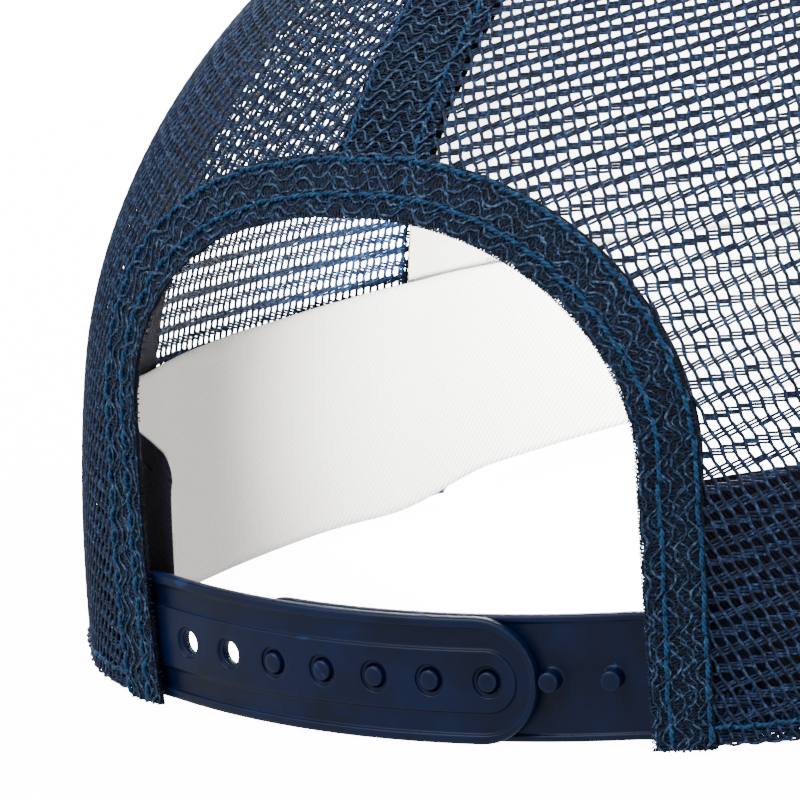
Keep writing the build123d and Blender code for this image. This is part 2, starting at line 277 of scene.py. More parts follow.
def at_run(path, run, at):
    """Points of a path at these distances from its start."""
    return np.stack([np.interp(at, run, path[:, k]) for k in range(3)], -1)


def tube_data(points, radius, sides=4, valid=None, flat=1.0):
    """Vertices and faces of tubes along N polylines of M points each."""
    count, steps = points.shape[:2]
    tangent = unit(np.gradient(points, axis=1))
    across = unit(np.cross(tangent, outward(points)))
    normal = np.cross(across, tangent)
    angle = 2 * pi * (np.arange(sides) + 0.5) / sides
    radius = np.broadcast_to(np.asarray(radius, float), (count, steps))[..., None, None]
    ring = points[:, :, None] + radius * (
        np.cos(angle)[:, None] * across[:, :, None] + flat * np.sin(angle)[:, None] * normal[:, :, None]
    )
    if valid is None:
        valid = np.ones((count, steps), bool)
    keep = valid[:, :-1] & valid[:, 1:]
    line, step = np.nonzero(keep)
    base = (line * steps + step)[:, None] * sides
    side = np.arange(sides)[None]
    after = (side + 1) % sides
    faces = stacked(base + side, base + after, base + after + sides, base + side + sides)
    faces = faces.reshape(-1, 4)
    used, packed = np.unique(faces, return_inverse=True)
    return ring.reshape(-1, 3)[used], packed.reshape(-1, 4)


def gather(parts):
    """Several (vertices, faces) joined."""
    points, faces, count = [], [], 0
    for p, f in parts:
        points.append(p)
        faces.append(np.asarray(f) + count)
        count += len(p)
    return np.concatenate(points), np.concatenate(faces)


# ---------------------------------------------------------------- materials


def rgb(text):
    channel = [int(text[i : i + 2], 16) / 255 for i in (0, 2, 4)]
    return [c / 12.92 if c <= 0.04045 else ((c + 0.055) / 1.055) ** 2.4 for c in channel] + [1]


class Shader:
    """Small helper that wires one principled material."""

    def __init__(self, name):
        self.material = bpy.data.materials.new(name)
        self.material.use_nodes = True
        self.tree = self.material.node_tree
        self.bsdf = self.tree.nodes["Principled BSDF"]
        self.coords = self.node("ShaderNodeTexCoord")

    def node(self, kind, **values):
        node = self.tree.nodes.new(kind)
        for key, value in values.items():
            setattr(node, key, value)
        return node

    def link(self, a, b):
        self.tree.links.new(a, b)

    def value(self, socket, value):
        self.bsdf.inputs[socket].default_value = value

    def noise(self, scale, detail=3.0):
        """Noise in the object's own metres."""
        node = self.node("ShaderNodeTexNoise")
        node.inputs["Scale"].default_value = scale
        node.inputs["Detail"].default_value = detail
        self.link(self.coords.outputs["Object"], node.inputs["Vector"])
        return node.outputs["Fac"]

    def wave(self, scale, angle, distortion):
        """Stripes in the metric UV map: scale is stripes per millimetre."""
        mapping = self.node("ShaderNodeMapping")
        mapping.inputs["Rotation"].default_value = (0, 0, angle)
        self.link(self.coords.outputs["UV"], mapping.inputs["Vector"])
        node = self.node("ShaderNodeTexWave")
        node.inputs["Scale"].default_value = scale * 2 * pi / 20
        node.inputs["Distortion"].default_value = distortion
        node.inputs["Detail"].default_value = 1.0
        node.inputs["Detail Scale"].default_value = 2.0
        self.link(mapping.outputs["Vector"], node.inputs["Vector"])
        return node.outputs["Fac"]

    def math(self, operation, a, b):
        node = self.node("ShaderNodeMath", operation=operation)
        for socket, item in zip(node.inputs, (a, b)):
            if isinstance(item, (int, float)):
                socket.default_value = item
            else:
                self.link(item, socket)
        return node.outputs[0]

    def blend(self, *shares):
        """Sum of outputs, each times its weight."""
        total = None
        for output, weight in shares:
            part = self.math("MULTIPLY", output, weight)
            total = part if total is None else self.math("ADD", total, part)
        return total

    def ramp(self, fac, *stops):
        """Colours between stops of position and hex colour."""
        node = self.node("ShaderNodeValToRGB")
        elements = node.color_ramp.elements
        while len(elements) < len(stops):
            elements.new(0.5)
        for element, (position, colour) in zip(elements, stops):
            element.position = position
            element.color = rgb(colour)
        self.link(fac, node.inputs["Fac"])
        return node.outputs["Color"]

    def bump(self, height, strength, distance):
        node = self.node("ShaderNodeBump")
        node.inputs["Strength"].default_value = strength
        node.inputs["Distance"].default_value = distance * MM
        self.link(height, node.inputs["Height"])
        self.link(node.outputs["Normal"], self.bsdf.inputs["Normal"])

    def colour(self, output):
        self.link(output, self.bsdf.inputs["Base Color"])

    def rough(self, fac, low, high):
        node = self.node("ShaderNodeMapRange")
        node.inputs["To Min"].default_value = low
        node.inputs["To Max"].default_value = high
        self.link(fac, node.inputs["Value"])
        self.link(node.outputs["Result"], self.bsdf.inputs["Roughness"])


def yarn_material(name, dark, middle, light, rough=0.5):
    """Fine multifilament polyester yarn."""
    s = Shader(name)
    grain = s.noise(1400, 4.0)
    fibre = s.noise(5200, 2.0)
    mix = s.blend((grain, 0.65), (fibre, 0.35))
    s.colour(s.ramp(mix, (0.36, dark), (0.52, middle), (0.66, light)))
    s.rough(fibre, rough - 0.12, rough + 0.15)
    s.value("Specular IOR Level", 0.22)
    s.bump(fibre, 0.5, 0.12)
    return s.material


def twill_material(name, dark, light, pitch=0.55, angle=0.9, rough=0.75, sheen=0.3):
    """Diagonal weave in the piece's metric UV map."""
    s = Shader(name)
    lines = s.wave(1 / pitch, angle, 0.6)
    cross = s.wave(1.6 / pitch, angle - pi / 2, 1.2)
    weave = s.math("MULTIPLY", lines, s.math("ADD", s.math("MULTIPLY", cross, 0.5), 0.5))
    fuzz = s.noise(900, 4.0)
    patch = s.noise(45, 2.0)
    mix = s.blend((weave, 0.5), (fuzz, 0.35), (patch, 0.15))
    s.colour(s.ramp(mix, (0.25, dark), (0.75, light)))
    s.rough(fuzz, rough - 0.1, rough + 0.1)
    s.value("Sheen Weight", sheen * 0.3)
    s.value("Sheen Roughness", 0.5)
    s.value("Specular IOR Level", 0.15)
    s.bump(mix, 0.7, 0.25)
    return s.material


def foam_material():
    """Open-cell foam with a thin knitted face."""
    s = Shader("foam")
    cells = s.node("ShaderNodeTexVoronoi")
    cells.inputs["Scale"].default_value = 1500
    s.link(s.coords.outputs["Object"], cells.inputs["Vector"])
    broad = s.noise(60, 3.0)
    mix = s.blend((cells.outputs["Distance"], 0.4), (broad, 0.6))
    s.colour(s.ramp(mix, (0.2, "CFCBC4"), (0.6, "E2DFDA")))
    s.value("Roughness", 0.9)
    s.value("Sheen Weight", 0.3)
    s.bump(cells.outputs["Distance"], 0.6, 0.3)
    return s.material


def plastic_material(name, dark, light, edge):
    """Satin moulded plastic with faint flow marks, and a painted highlight: its sharp edges are lightened
    towards a paler colour.
    """
    s = Shader(name)
    broad = s.noise(120, 3.0)
    fine = s.noise(3800, 2.0)
    # painted highlight: pointiness picks out the convex edges, which are mixed towards the edge colour in
    # broken patches
    geometry = s.node("ShaderNodeNewGeometry")
    edge_highlight = s.node("ShaderNodeMapRange")
    edge_highlight.inputs["From Min"].default_value = 0.52
    edge_highlight.inputs["From Max"].default_value = 0.62
    s.link(geometry.outputs["Pointiness"], edge_highlight.inputs["Value"])
    blend = s.node("ShaderNodeMix", data_type="RGBA")
    colours = [i for i in blend.inputs if i.type == "RGBA"]
    amount = s.math("MULTIPLY", edge_highlight.outputs["Result"], s.math("ADD", s.noise(700, 4.0), 0.2))
    s.link(amount, blend.inputs[0])
    s.link(s.ramp(broad, (0.3, dark), (0.7, light)), colours[0])
    colours[1].default_value = rgb(edge)
    s.colour([o for o in blend.outputs if o.type == "RGBA"][0])
    s.rough(s.noise(400, 4.0), 0.3, 0.44)
    s.value("Specular IOR Level", 0.2)
    s.bump(fine, 0.12, 0.05)
    return s.material


def metal_material():
    s = Shader("button_steel")
    s.value("Metallic", 1.0)
    s.colour(s.ramp(s.noise(300, 3.0), (0.3, "8C8D90"), (0.7, "B4B5B8")))
    s.rough(s.noise(900, 3.0), 0.3, 0.5)
    s.bump(s.noise(2500, 2.0), 0.1, 0.05)
    return s.material


def floor_material():
    s = Shader("floor")
    s.colour(s.ramp(s.noise(3, 1.0), (0.3, "F4F4F4"), (0.7, "F6F6F6")))
    s.value("Roughness", 1.0)
    s.value("Specular IOR Level", 0.0)
    s.value("Emission Color", (1, 1, 1, 1))
    s.value("Emission Strength", 14.0)
    return s.material


MESH_YARN = yarn_material("mesh_yarn", "040A17", "10213F", "3B5A86")
BINDING_YARN = yarn_material("binding_yarn", "050D1C", "132C50", "456D96")
# painted shade: the binding's core is near black so that the gaps between its chains look deep and
# shadowed
BINDING_SHADE_CORE = yarn_material("binding_core", "02050B", "050B17", "0A1730", 0.8)
CHAIN_YARN = yarn_material("chain_yarn", "091527", "1E3655", "567493")
# painted shade: the net lies under the chains and inside the folds, so it is given darker colours than
# the outer yarn
NET_SHADE_YARN = yarn_material("net_shade_yarn", "02060F", "081830", "1A3760")
THREAD = yarn_material("blue_thread", "05223E", "0B3A62", "1B5C88", 0.4)
VISOR_THREAD = yarn_material("visor_thread", "060E1E", "0C1830", "1E3052", 0.4)
TAPE = twill_material("seam_twill", "04070E", "0E172A", 0.6, 0.8, 0.8, 0.1)
FRONT_TAPE = twill_material("front_seam_twill", "C4C1BB", "E6E3DE", 0.6, 0.8)
SWEATBAND = twill_material("sweatband_twill", "14121E", "312E3E", 0.7, 0.75, 0.8, 0.2)
SWEATBAND_FACE = twill_material("sweatband_cotton", "DAD7D2", "F4F2EE", 0.8, 0.75, 0.85, 0.2)
VISOR_CLOTH = twill_material("visor_twill", "060C1A", "111E38", 0.45, 0.9, 0.75, 0.15)
VISOR_UNDER = twill_material("visor_under_twill", "050B18", "0F1B33", 0.5, -0.9, 0.75, 0.15)
BUTTON_CLOTH = twill_material("button_twill", "060C1A", "111E38", 0.45, 0.9, 0.75, 0.15)
FRONT_CLOTH = twill_material("front_weave", "D9D6D0", "F1EFEB", 0.35, 0.8, 0.8, 0.2)
FOAM = foam_material()
# the closure's third colour is a painted highlight along its edges
PLASTIC = plastic_material("closure_satin", "020B21", "041538", "17325C")
METAL = metal_material()


def settle(obj, nodes=(), body="crown"):
    if body:
        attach(obj, body)
    if nodes:
        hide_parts(*nodes)
    return obj


def settle_parts(name, parts, material):
    """One piece of many tubes."""
    settle(make_mesh(name, *gather(parts), material))


# ---------------------------------------------------------------- stitches


def stitches(path, length=3.0, gap=0.2, thread=0.42, lift=0.2, sink=0.35):
    """Two-ply stitches along a polyline that lies on a surface."""
    path = np.asarray(path, float)
    run = run_along(path)
    count = max(1, int(run[-1] / (length + gap)))
    steps = 8
    turns = 1.6
    wobble = random.normal(0, 0.12, (count, 2))
    begin = (np.arange(count) + 0.5) * run[-1] / count - length / 2
    t = np.linspace(0, 1, steps)
    at = begin[:, None] + length * t[None]
    centre = at_run(path, run, at)
    ahead = at_run(path, run, at + 0.3)
    normal = outward(centre)
    across = np.cross(unit(ahead - centre), normal)
    arch = np.sin(pi * t) ** 0.6
    centre = centre + normal * (lift * arch - sink * (1 - arch))[None, :, None]
    centre = centre + across * (wobble[:, :1] + (wobble[:, 1:] * (t - 0.5)))[..., None]
    parts = []
    for phase in (0, pi):
        angle = phase + 2 * pi * turns * t + wobble[:, 1:] * 6
        ply = centre + 0.45 * thread * (
            np.cos(angle)[..., None] * across + np.sin(angle)[..., None] * normal
        )
        radius = thread * 0.52 * (0.75 + 0.25 * arch)[None]
        parts.append(tube_data(ply, radius, 5))
    return gather(parts)


# ---------------------------------------------------------------- knitted mesh

WALE = 1.8
COURSE = 2.52
BACK_LEAN = (0.4, -0.0018, 0.5)
BACK_FOLD_LEAN = (-0.3, 0.0, -0.3)
SIDE_LEAN = (-0.07, 0.0, -0.07)
SIDE_FOLD_LEAN = (0.16, 0.0, 0.16)
SEAM_HALF, BACK_SEAM_RIGHT = 6.9, 8.6
CHAIN_PITCH, CHAIN_PERIOD = 1.75, 4.4


def chains(place, length, low, high, depth, pitch, period, keep=None, start=0.3, radius=0.17):
    """Wavy chains side by side, which swing together.

    place(along, across, depth) gives points on the cloth."""
    t = np.arange(start, length - 0.2, 0.42)
    lines = np.arange(low, high, pitch)
    k = np.arange(len(lines))[:, None]
    slip = random.normal(0, 0.09, (len(lines), 1))
    phase = t[None] / period + 0.09 * k + 0.1 * np.sin(t[None] * 0.13 + k) + slip
    corner = np.abs(np.mod(phase, 1) - 0.5) * 4 - 1
    swing = 0.46 * pitch * np.clip(1.9 * corner, -1, 1)
    drift = 0.35 * np.sin(t[None] * 0.045 + 2.2) + random.normal(0, 0.08, swing.shape)
    across = np.clip(lines[:, None] + swing + drift, low - 0.2, high + 0.2)
    along = np.broadcast_to(t[None], across.shape)
    points = place(along, across, depth)
    points = points + outward(points) * (0.1 * np.sin(along * 1.8 + k * 2))[..., None]
    valid = keep(points) if keep else None
    thick = radius * (1 + 0.25 * np.sin(along * 0.9 + k))
    return [tube_data(points, thick, 5, valid, 0.8)]


def net(place, length, low, high, depth, keep=None, start=0.3, gap=0.62):
    """Fine crossing strands that fill the cloth under the chains."""
    parts = []
    wide = high - low
    for turn, lift in ((0.35, 0.0), (-0.55, 0.06), (0.05, 0.12)):
        t = np.arange(start, length - 0.3, gap)[:, None] + random.normal(0, 0.12, (1, 1))
        v = np.linspace(low, high, max(4, int(wide / 0.9)))[None]
        bend = 0.22 * np.sin(v * 2.1 + t * 1.7) + random.normal(0, 0.06, (t.shape[0], v.shape[1]))
        along = np.clip(t + turn * (v - low - wide / 2) + bend, start, length - 0.2)
        across = np.broadcast_to(v, along.shape)
        points = place(along, across, depth - lift)
        valid = keep(points) if keep else None
        parts.append(tube_data(points, 0.105, 4, valid))
    return parts


class Panel:
    """Flat cloth coordinates (u across, v up) on a stretch of the crown."""

    def __init__(self, low, high, base):
        self.z = heights(150)
        self.arcs = np.linspace(low, high, 360)
        self.base = base
        self.across = []
        self.up = run_along(crown(base, self.z))
        for level in self.z:
            run = run_along(crown(self.arcs, level))
            self.across.append(run - np.interp(base, self.arcs, run))
        self.across = np.array(self.across)

    def place(self, u, v, depth):
        """Crown points, and whether they lie inside the stretch."""
        shape = u.shape
        u, v = u.ravel(), v.ravel()
        depth = np.broadcast_to(depth, shape).ravel()
        row = np.clip(np.searchsorted(self.up, v) - 1, 0, len(self.up) - 2)
        part = (v - self.up[row]) / (self.up[row + 1] - self.up[row])
        inside = (part >= 0) & (part <= 1)
        part = np.clip(part, 0, 1)
        arc = np.zeros_like(u)
        for k in np.unique(row):
            mask = row == k
            a = np.interp(u[mask], self.across[k], self.arcs)
            b = np.interp(u[mask], self.across[k + 1], self.arcs)
            arc[mask] = a + (b - a) * part[mask]
            inside[mask] &= (u[mask] > self.across[k, 0]) & (u[mask] < self.across[k, -1])
        z = self.z[row] + (self.z[row + 1] - self.z[row]) * part
        return crown(arc, z, depth).reshape(*shape, 3), inside.reshape(shape)


def arch_inside(points, grow):
    """Whether points at the back lie inside the rear opening grown by a margin."""
    x, y, z = points[..., 0], points[..., 1], points[..., 2]
    power = np.where(x > 0, ARCH_POWER_LEFT, ARCH_POWER_RIGHT)
    across = np.clip(np.abs(x) / (ARCH_HALF + grow), 0, 1)
    top = ARCH_SPRING + (ARCH_TOP + grow - ARCH_SPRING) * (1 - across**power) ** (1 / power)
    return (y > 0) & (np.abs(x) < ARCH_HALF + grow) & (z < top)


def wale_offset(v, course):
    """Sideways swing of a wale: a quick lean at one course, a slow return."""
    phase = np.mod(v / (2 * course) + 0.5, 1) - 0.5
    quick = 0.16
    swing = np.where(
        np.abs(phase) < quick,
        phase / quick,
        np.sign(phase) * (0.5 - np.abs(phase)) / (0.5 - quick),
    )
    return 0.27 * swing


def knit(panel, side, keep, low, high, depth, lean, width=1.0, shift=0.0):
    """Yarns of the mesh: zigzag wales with three laid-in filaments at each course.

    The lattice is cut to keep and to heights from low to high. lean holds the slope
    and bend of the courses and the slope of the wales; width scales the yarns."""
    span = max(-panel.across.min(), panel.across.max())
    v_high = panel.up[-1]
    slope, bend, tip = lean
    start = -8 if panel.base == 0 else -span
    corners = np.array([(u, v) for u in (start, span / 2, span) for v in (0, v_high)])
    across = corners[:, 0] + tip * corners[:, 1]
    along = corners[:, 1] - slope * corners[:, 0] - bend * corners[:, 0] ** 2
    wale_span, course_span = sqrt(1 + tip**2), sqrt(1 + slope**2)
    wale, course = WALE * wale_span * 0.93, COURSE * course_span * 0.97
    wales = np.arange(int(across.min() / wale) - 8, int(across.max() / wale) + 9)
    courses = np.arange(int(along.min() / course) - 8, int(along.max() / course) + 9)
    local = np.array([-0.16, 0.0, 0.16, 0.5]) * course
    level = (courses[:, None] * course + local[None]).ravel() + shift

    def locate(a, b, deep):
        # solve u + tip v = a and v = b + slope u + bend u^2 by a few passes
        u = a - tip * b
        for _ in range(4):
            v = b + slope * u + bend * u * u
            u = a - tip * v
        v = b + slope * u + bend * u * u
        points, inside = panel.place(side * u, v, deep)
        return points, inside & keep(points) & (points[..., 2] >= low) & (points[..., 2] <= high)

    a = wales[:, None] * wale + wale_offset(level[None] - shift, course) + shift
    a = a + random.normal(0, 0.035, a.shape)
    b = np.broadcast_to(level[None], a.shape)
    points, valid = locate(a, b, depth)
    knot = np.abs(np.mod((level - shift) / course + 0.5, 1) - 0.5) < 0.2
    radius = np.where(knot, 0.33, 0.27) * width
    parts = [tube_data(points, np.broadcast_to(radius, a.shape), 5, valid, 0.8)]

    left, row = np.meshgrid(wales[:-1], courses, indexing="ij")
    left, row = left.ravel(), row.ravel()
    tilt = np.where(row % 2 == 0, -0.24, 0.18)
    spread = 0.46 + 0.04 * np.sin(left * 0.9 + row * 2.3) + random.normal(0, 0.04, left.shape)
    sway = random.normal(0, 0.05, (3, len(left)))
    for k in (-1, 0, 1):
        middle = row * course + shift + k * spread + sway[k + 1]
        b = stacked(middle - tilt, middle + tilt)
        start = left * wale + wale_offset(row * course, course)
        a = stacked(start - 0.05, start + wale + 0.05) + shift
        points, valid = locate(a, b, depth + 0.12 + 0.06 * k)
        thickness = (0.235 + 0.03 * (random.random(len(left)) > 0.6)) * width
        parts.append(tube_data(points, thickness[:, None], 4, valid, 0.8))
    return gather(parts)


def between_seams(low_arc, high_arc):
    low, high = seam_bearing(low_arc), seam_bearing(high_arc)

    def test(points):
        angle = bearing(points)
        return (angle > low) & (angle < high) & (from_axis(points) > 5.0)

    return test


def back_keep(side):
    inside = between_seams(0, SIDE_SEAM_ARC) if side > 0 else between_seams(-SIDE_SEAM_ARC, 0)
    return lambda points: inside(points) & ~arch_inside(points, PANEL_CUT)


def side_keep(side):
    low, high = (SIDE_SEAM_ARC, FRONT_SEAM_ARC) if side > 0 else (-FRONT_SEAM_ARC, -SIDE_SEAM_ARC)
    inside = between_seams(low, high)

    def test(points):
        above = points[..., 2] > visor_top(points[..., 0], points[..., 1], 0.3)
        forward = points[..., 1] < hem_xy(VISOR_ARC)[1] + 3
        return inside(points) & (above | ~forward)

    return test


def near_seam(seam_arc, width, inside):
    """Narrows a panel's test to the doubled mesh beside one seam."""
    beta = seam_bearing(seam_arc)
    across = np.array([cos(beta), -sin(beta)])

    def test(points):
        near = np.abs(points[..., :2] @ across) < width
        facing = points[..., 0] * sin(beta) + points[..., 1] * cos(beta) > 0
        return near & facing & inside(points)

    return test


def back_panel(side):
    return Panel(-6, 122, 0.0) if side > 0 else Panel(-122, 6, 0.0)


def flank_panel(side):
    return Panel(88, 212, 148.0) if side > 0 else Panel(-212, -88, -148.0)


def build_seam_folds():
    """Turned edges of the mesh at the back and side seams."""
    for side, word in SIDES:
        keep = near_seam(side * SIDE_SEAM_ARC, SEAM_HALF, back_keep(side))
        lean = BACK_FOLD_LEAN
        yarn = knit(back_panel(side), side, keep, 0.3, PANEL_TOP, 0.8, lean, width=0.9, shift=1.6)
        settle(make_mesh(f"{word}_seam_fold", *yarn, BINDING_YARN))
    build_back_fold()


def build_back_fold():
    """Turned mesh over the centre back seam: its chains run across and form hexagons."""
    strip = Panel(-40, 40, 0.0)
    start = 70

    def place(along, across, depth):
        return strip.place(along, across + start, depth)[0]

    def keep(points):
        clear = ~arch_inside(points, PANEL_CUT) & (from_axis(points) > 9)
        return clear & (points[..., 0] < SEAM_HALF) & (points[..., 0] > -BACK_SEAM_RIGHT)

    length = strip.up[-1] - start - 0.5
    low, high = -BACK_SEAM_RIGHT, SEAM_HALF
    fine = net(lambda a, b, d: place(b, a, d), length, low, high, 0.35, keep, gap=0.75)
    settle_parts("back_seam_net", fine, NET_SHADE_YARN)
    parts = chains(place, high, 0.0, length, -0.05, CHAIN_PITCH, CHAIN_PERIOD, keep, low, 0.19)
    settle_parts("back_seam_fold", parts, CHAIN_YARN)


def build_crown_top():
    """Turned ends of the mesh gathered round the button, behind the front panel."""
    profile = crown(0.0, heights(200, 100.0))[::-1]
    middle = 15.0
    half = seam_bearing(FRONT_SEAM_ARC)

    def place(along, across, depth):
        angle = along / middle - half
        z = np.interp(across, profile[:, 1], profile[:, 2]) - depth
        return stacked(across * np.sin(angle), across * np.cos(angle), z)

    length = 2 * half * middle
    fine = net(place, length, 7.5, 21.0, 0.2, gap=0.5)
    fine += net(place, length, 7.5, 20.0, 0.5, gap=0.45)
    settle_parts("crown_top_net", fine, NET_SHADE_YARN)
    parts = chains(place, length, 9.0, 20.5, 0.0, CHAIN_PITCH, CHAIN_PERIOD, radius=0.19)
    settle_parts("crown_top_chains", parts, CHAIN_YARN)


def build_mesh_panels():
    for side, word in SIDES:
        for place, panel, keep, lean, fold_lean in (
            ("back", back_panel(side), back_keep(side), BACK_LEAN, BACK_FOLD_LEAN),
            ("side", flank_panel(side), side_keep(side), SIDE_LEAN, SIDE_FOLD_LEAN),
        ):
            name = f"{word}_{place}"
            yarn = knit(panel, side, keep, 0.25, PANEL_TOP, 0.45, lean)
            settle(make_mesh(name + "_knit", *yarn, MESH_YARN), [name + "_mesh"])
            fold = knit(panel, side, keep, 0.15, HEM_FOLD, 0.95, fold_lean, width=1.05, shift=0.9)
            settle(make_mesh(name + "_hem_fold", *fold, MESH_YARN))


def build_hem():
    """Folded lower edge: wavy yarns along the fold, a stitch row above it and the layer inside it."""
    parts, rows, fills = [], [], []
    for side, _ in SIDES:
        arcs = side * np.arange(ARCH_HALF + 9, VISOR_ARC - 2, 0.65)
        for k in range(3):
            z = 0.35 + 0.32 * k + 0.14 * np.sin(arcs * 2.2 + k * 2)
            deep = 0.35 + 0.35 * k + 0.2 * np.cos(arcs * 1.7 + k)
            parts.append(tube_data(crown(arcs, z, deep)[None], 0.24, 5))
        start, end = ARCH_HALF + 8, VISOR_ARC - 7
        fills += net(lambda a, b, d: crown(side * a, b, d), end, 0.3, 6.0, 1.35, None, start, 0.38)
        arcs = side * np.arange(ARCH_HALF + 9.5, VISOR_ARC - 3, 1.0)
        rows.append(stitches(crown(arcs, 2.9, 0.15)))
    settle_parts("hem_edge_yarns", parts, MESH_YARN)
    settle_parts("hem_stitches", rows, THREAD)
    settle_parts("hem_lining", fills, NET_SHADE_YARN)


# ---------------------------------------------------------------- rear opening


class Arch:
    """Path round the rear opening, from the wearer's left hem to the right."""

    def __init__(self):
        straight = np.linspace(-0.8, ARCH_SPRING, 80)
        curve = np.linspace(0, pi / 2, 240)
        side = np.concatenate([np.ones(320), -np.ones(320)])
        angle = np.concatenate([np.zeros(80), curve, curve[::-1], np.zeros(80)])
        height = np.concatenate([straight, np.full(480, ARCH_SPRING), straight[::-1]])
        self.raw = (side, angle, height)
        x, z = self.outline(*self.raw, 5.0)
        self.run = np.concatenate([[0], np.cumsum(np.hypot(np.diff(x), np.diff(z)))])
        self.length = self.run[-1]

    def outline(self, side, angle, height, grow):
        power = np.where(side > 0, ARCH_POWER_LEFT, ARCH_POWER_RIGHT)
        x = side * (ARCH_HALF + grow) * np.cos(angle) ** (2 / power)
        z = height + (ARCH_TOP + grow - ARCH_SPRING) * np.sin(angle) ** (2 / power)
        # the left leg kicks in at its foot
        x = x - 1.4 * np.clip(1 - z / 24, 0, 1.05) ** 2 * (side > 0)
        return x, z

    def point(self, along, grow, depth):
        """Crown point at a distance along the opening, a margin outside its edge."""
        along, grow = np.broadcast_arrays(np.asarray(along, float), grow)
        index = np.interp(along, self.run, np.arange(len(self.run)))
        low = np.clip(index.astype(int), 0, len(self.run) - 2)
        part = index - low
        found = []
        for k in (low, low + 1):
            found.append(stacked(*self.outline(*[row[k] for row in self.raw], grow)))
        xz = found[0] + (found[1] - found[0]) * part[..., None]
        return back_point(xz[..., 0], xz[..., 1], depth)


ARCH = Arch()


def build_binding():
    profile = [
        (0.0, 0.55), (0.12, 0.2), (0.45, 0.02), (1.1, -0.05), (3.0, -0.02), (5.5, -0.1),
        (7.2, -0.02), (8.0, 0.0), (8.3, 0.15), (8.4, 0.45), (8.3, 0.9), (7.9, 1.15),
        (6.0, 1.2), (1.6, 1.25), (0.6, 1.15), (0.15, 0.9),
    ]
    along = np.arange(0.3, ARCH.length, 0.8)
    uneven = 0.18 * np.sin(along * 0.45) + 0.12 * np.sin(along * 1.3 + 1)
    rings = np.stack(
        [ARCH.point(along, m + (uneven * max(0, 1 - m / 3)), d) for m, d in profile], 1
    )
    faces = grid_faces(len(along), len(profile), close=True)
    size = len(profile)
    faces.append(list(range(size)))
    faces.append([size * (len(along) - 1) + k for k in range(size)][::-1])
    uv = stacked(along[:, None], np.array([m for m, _ in profile])[None])
    # the core's near-black colour is painted shade for the gaps between the chains
    core = make_mesh("binding_core", rings, [f[::-1] for f in faces], BINDING_SHADE_CORE, uv.reshape(-1, 2))
    settle(core, ["arch_binding"])

    chain = chains(ARCH.point, ARCH.length, 0.9, 8.3, -0.3, 1.7, 6.2, radius=0.19)
    chain += chains(ARCH.point, ARCH.length, 0.4, 8.2, -0.12, 1.2, 3.4, radius=0.13)
    settle_parts("binding_chains", chain, CHAIN_YARN)
    parts = net(ARCH.point, ARCH.length - 0.4, -0.05, 8.55, -0.04, start=0.7)
    t = np.arange(2.0, ARCH.length - 1.8, 1.1)
    reach = np.array([-0.1, 0.2, 0.9, 1.6])
    wrap_depth = np.array([0.9, 0.1, -0.16, -0.2])
    start = t + random.normal(0, 0.3, len(t))
    loops = [
        ARCH.point(start + 0.5 * random.normal(0, 1, len(t)) * m, np.full(len(t), m), d)
        for m, d in zip(reach, wrap_depth)
    ]
    parts.append(tube_data(np.stack(loops, 1), 0.16, 4))
    settle_parts("binding_yarns", parts, NET_SHADE_YARN)

    rows = []
    for grow, sway in ((3.0, 0.25), (8.0, 0.25)):
        t = np.arange(0.6, ARCH.length - 0.6, 0.9)
        rows.append(stitches(ARCH.point(t, grow + sway * np.sin(t * 0.09 + grow), -0.3), 3.1, 0.15, 0.46))
    settle_parts("binding_stitches", rows, THREAD)


# ---------------------------------------------------------------- seams


def strip_rows(seam_arc, offsets, z, depth):
    """Grid of points beside a seam, at level offsets across its upright plane."""
    beta = seam_bearing(seam_arc)
    direction = np.array([sin(beta), cos(beta)])
    across = np.array([cos(beta), -sin(beta)])
    dense = seam_arc + np.linspace(-75, 75, 601)
    rows = []
    for level in z:
        points = crown(dense, level, depth)
        q = points[:, :2] @ across
        out = points[:, :2] @ direction
        good = out > 0
        order = np.argsort(q[good])
        rows.append(at_run(points[good][order], q[good][order], offsets))
    return np.array(rows)


def strip_levels(seam_arc, low, end_radius, count, depth):
    """Heights of a seam from its foot to where it nears the button."""
    z = heights(count, low, 126.0 - depth)
    points = crown(arc_on_seam(seam_arc, z, depth), z, depth)
    return z[from_axis(points) > end_radius]


# Each tape's seam arc, depth and foot, then its stitches' foot and count of levels
TAPES = {
    "back_seam_tape": (0.0, 1.4, ARCH_TOP + 0.4, ARCH_TOP + 0.8, 120),
    "left_side_seam_tape": (SIDE_SEAM_ARC, 1.4, 1.0, 1.2, 140),
    "right_side_seam_tape": (-SIDE_SEAM_ARC, 1.4, 1.0, 1.2, 140),
    "left_front_seam_tape": (FRONT_SEAM_ARC, 4.0, 9.0, 13.0, 140),
    "right_front_seam_tape": (-FRONT_SEAM_ARC, 4.0, 9.0, 13.0, 140),
}
TAPE_THICK = 0.55
TAPE_STITCH = 6.25


def build_tapes():
    rows = []
    offsets = np.array([-8.5, -8.3, -7, -5, -3, -1, 1, 3, 5, 7, 8.3, 8.5])
    sag = np.where(np.abs(offsets) > 8.4, 0.12, 0.0)
    for name, (arc, depth, low, stitch_low, count) in TAPES.items():
        z = strip_levels(arc, low, 18.8, 90, depth)
        outer = strip_rows(arc, offsets, z, depth)
        inner = strip_rows(arc, offsets, z, depth + TAPE_THICK)
        outer = outer - outward(outer) * sag[None, :, None]
        uv = stacked(offsets[None], run_along(outer[:, 5])[:, None])
        cloth = FRONT_TAPE if "front" in name else TAPE
        settle(slab(name + "_twill", outer, inner, cloth, uv), [name])
        z = strip_levels(arc, stitch_low, 9.5, count, 0.1)
        lines = strip_rows(arc, np.array([-TAPE_STITCH, TAPE_STITCH]), z, 0.12)
        rows += [stitches(lines[:, k], 3.0, 0.15, 0.44) for k in (0, 1)]
    settle_parts("seam_stitches", rows, THREAD)


# ---------------------------------------------------------------- front panel and band


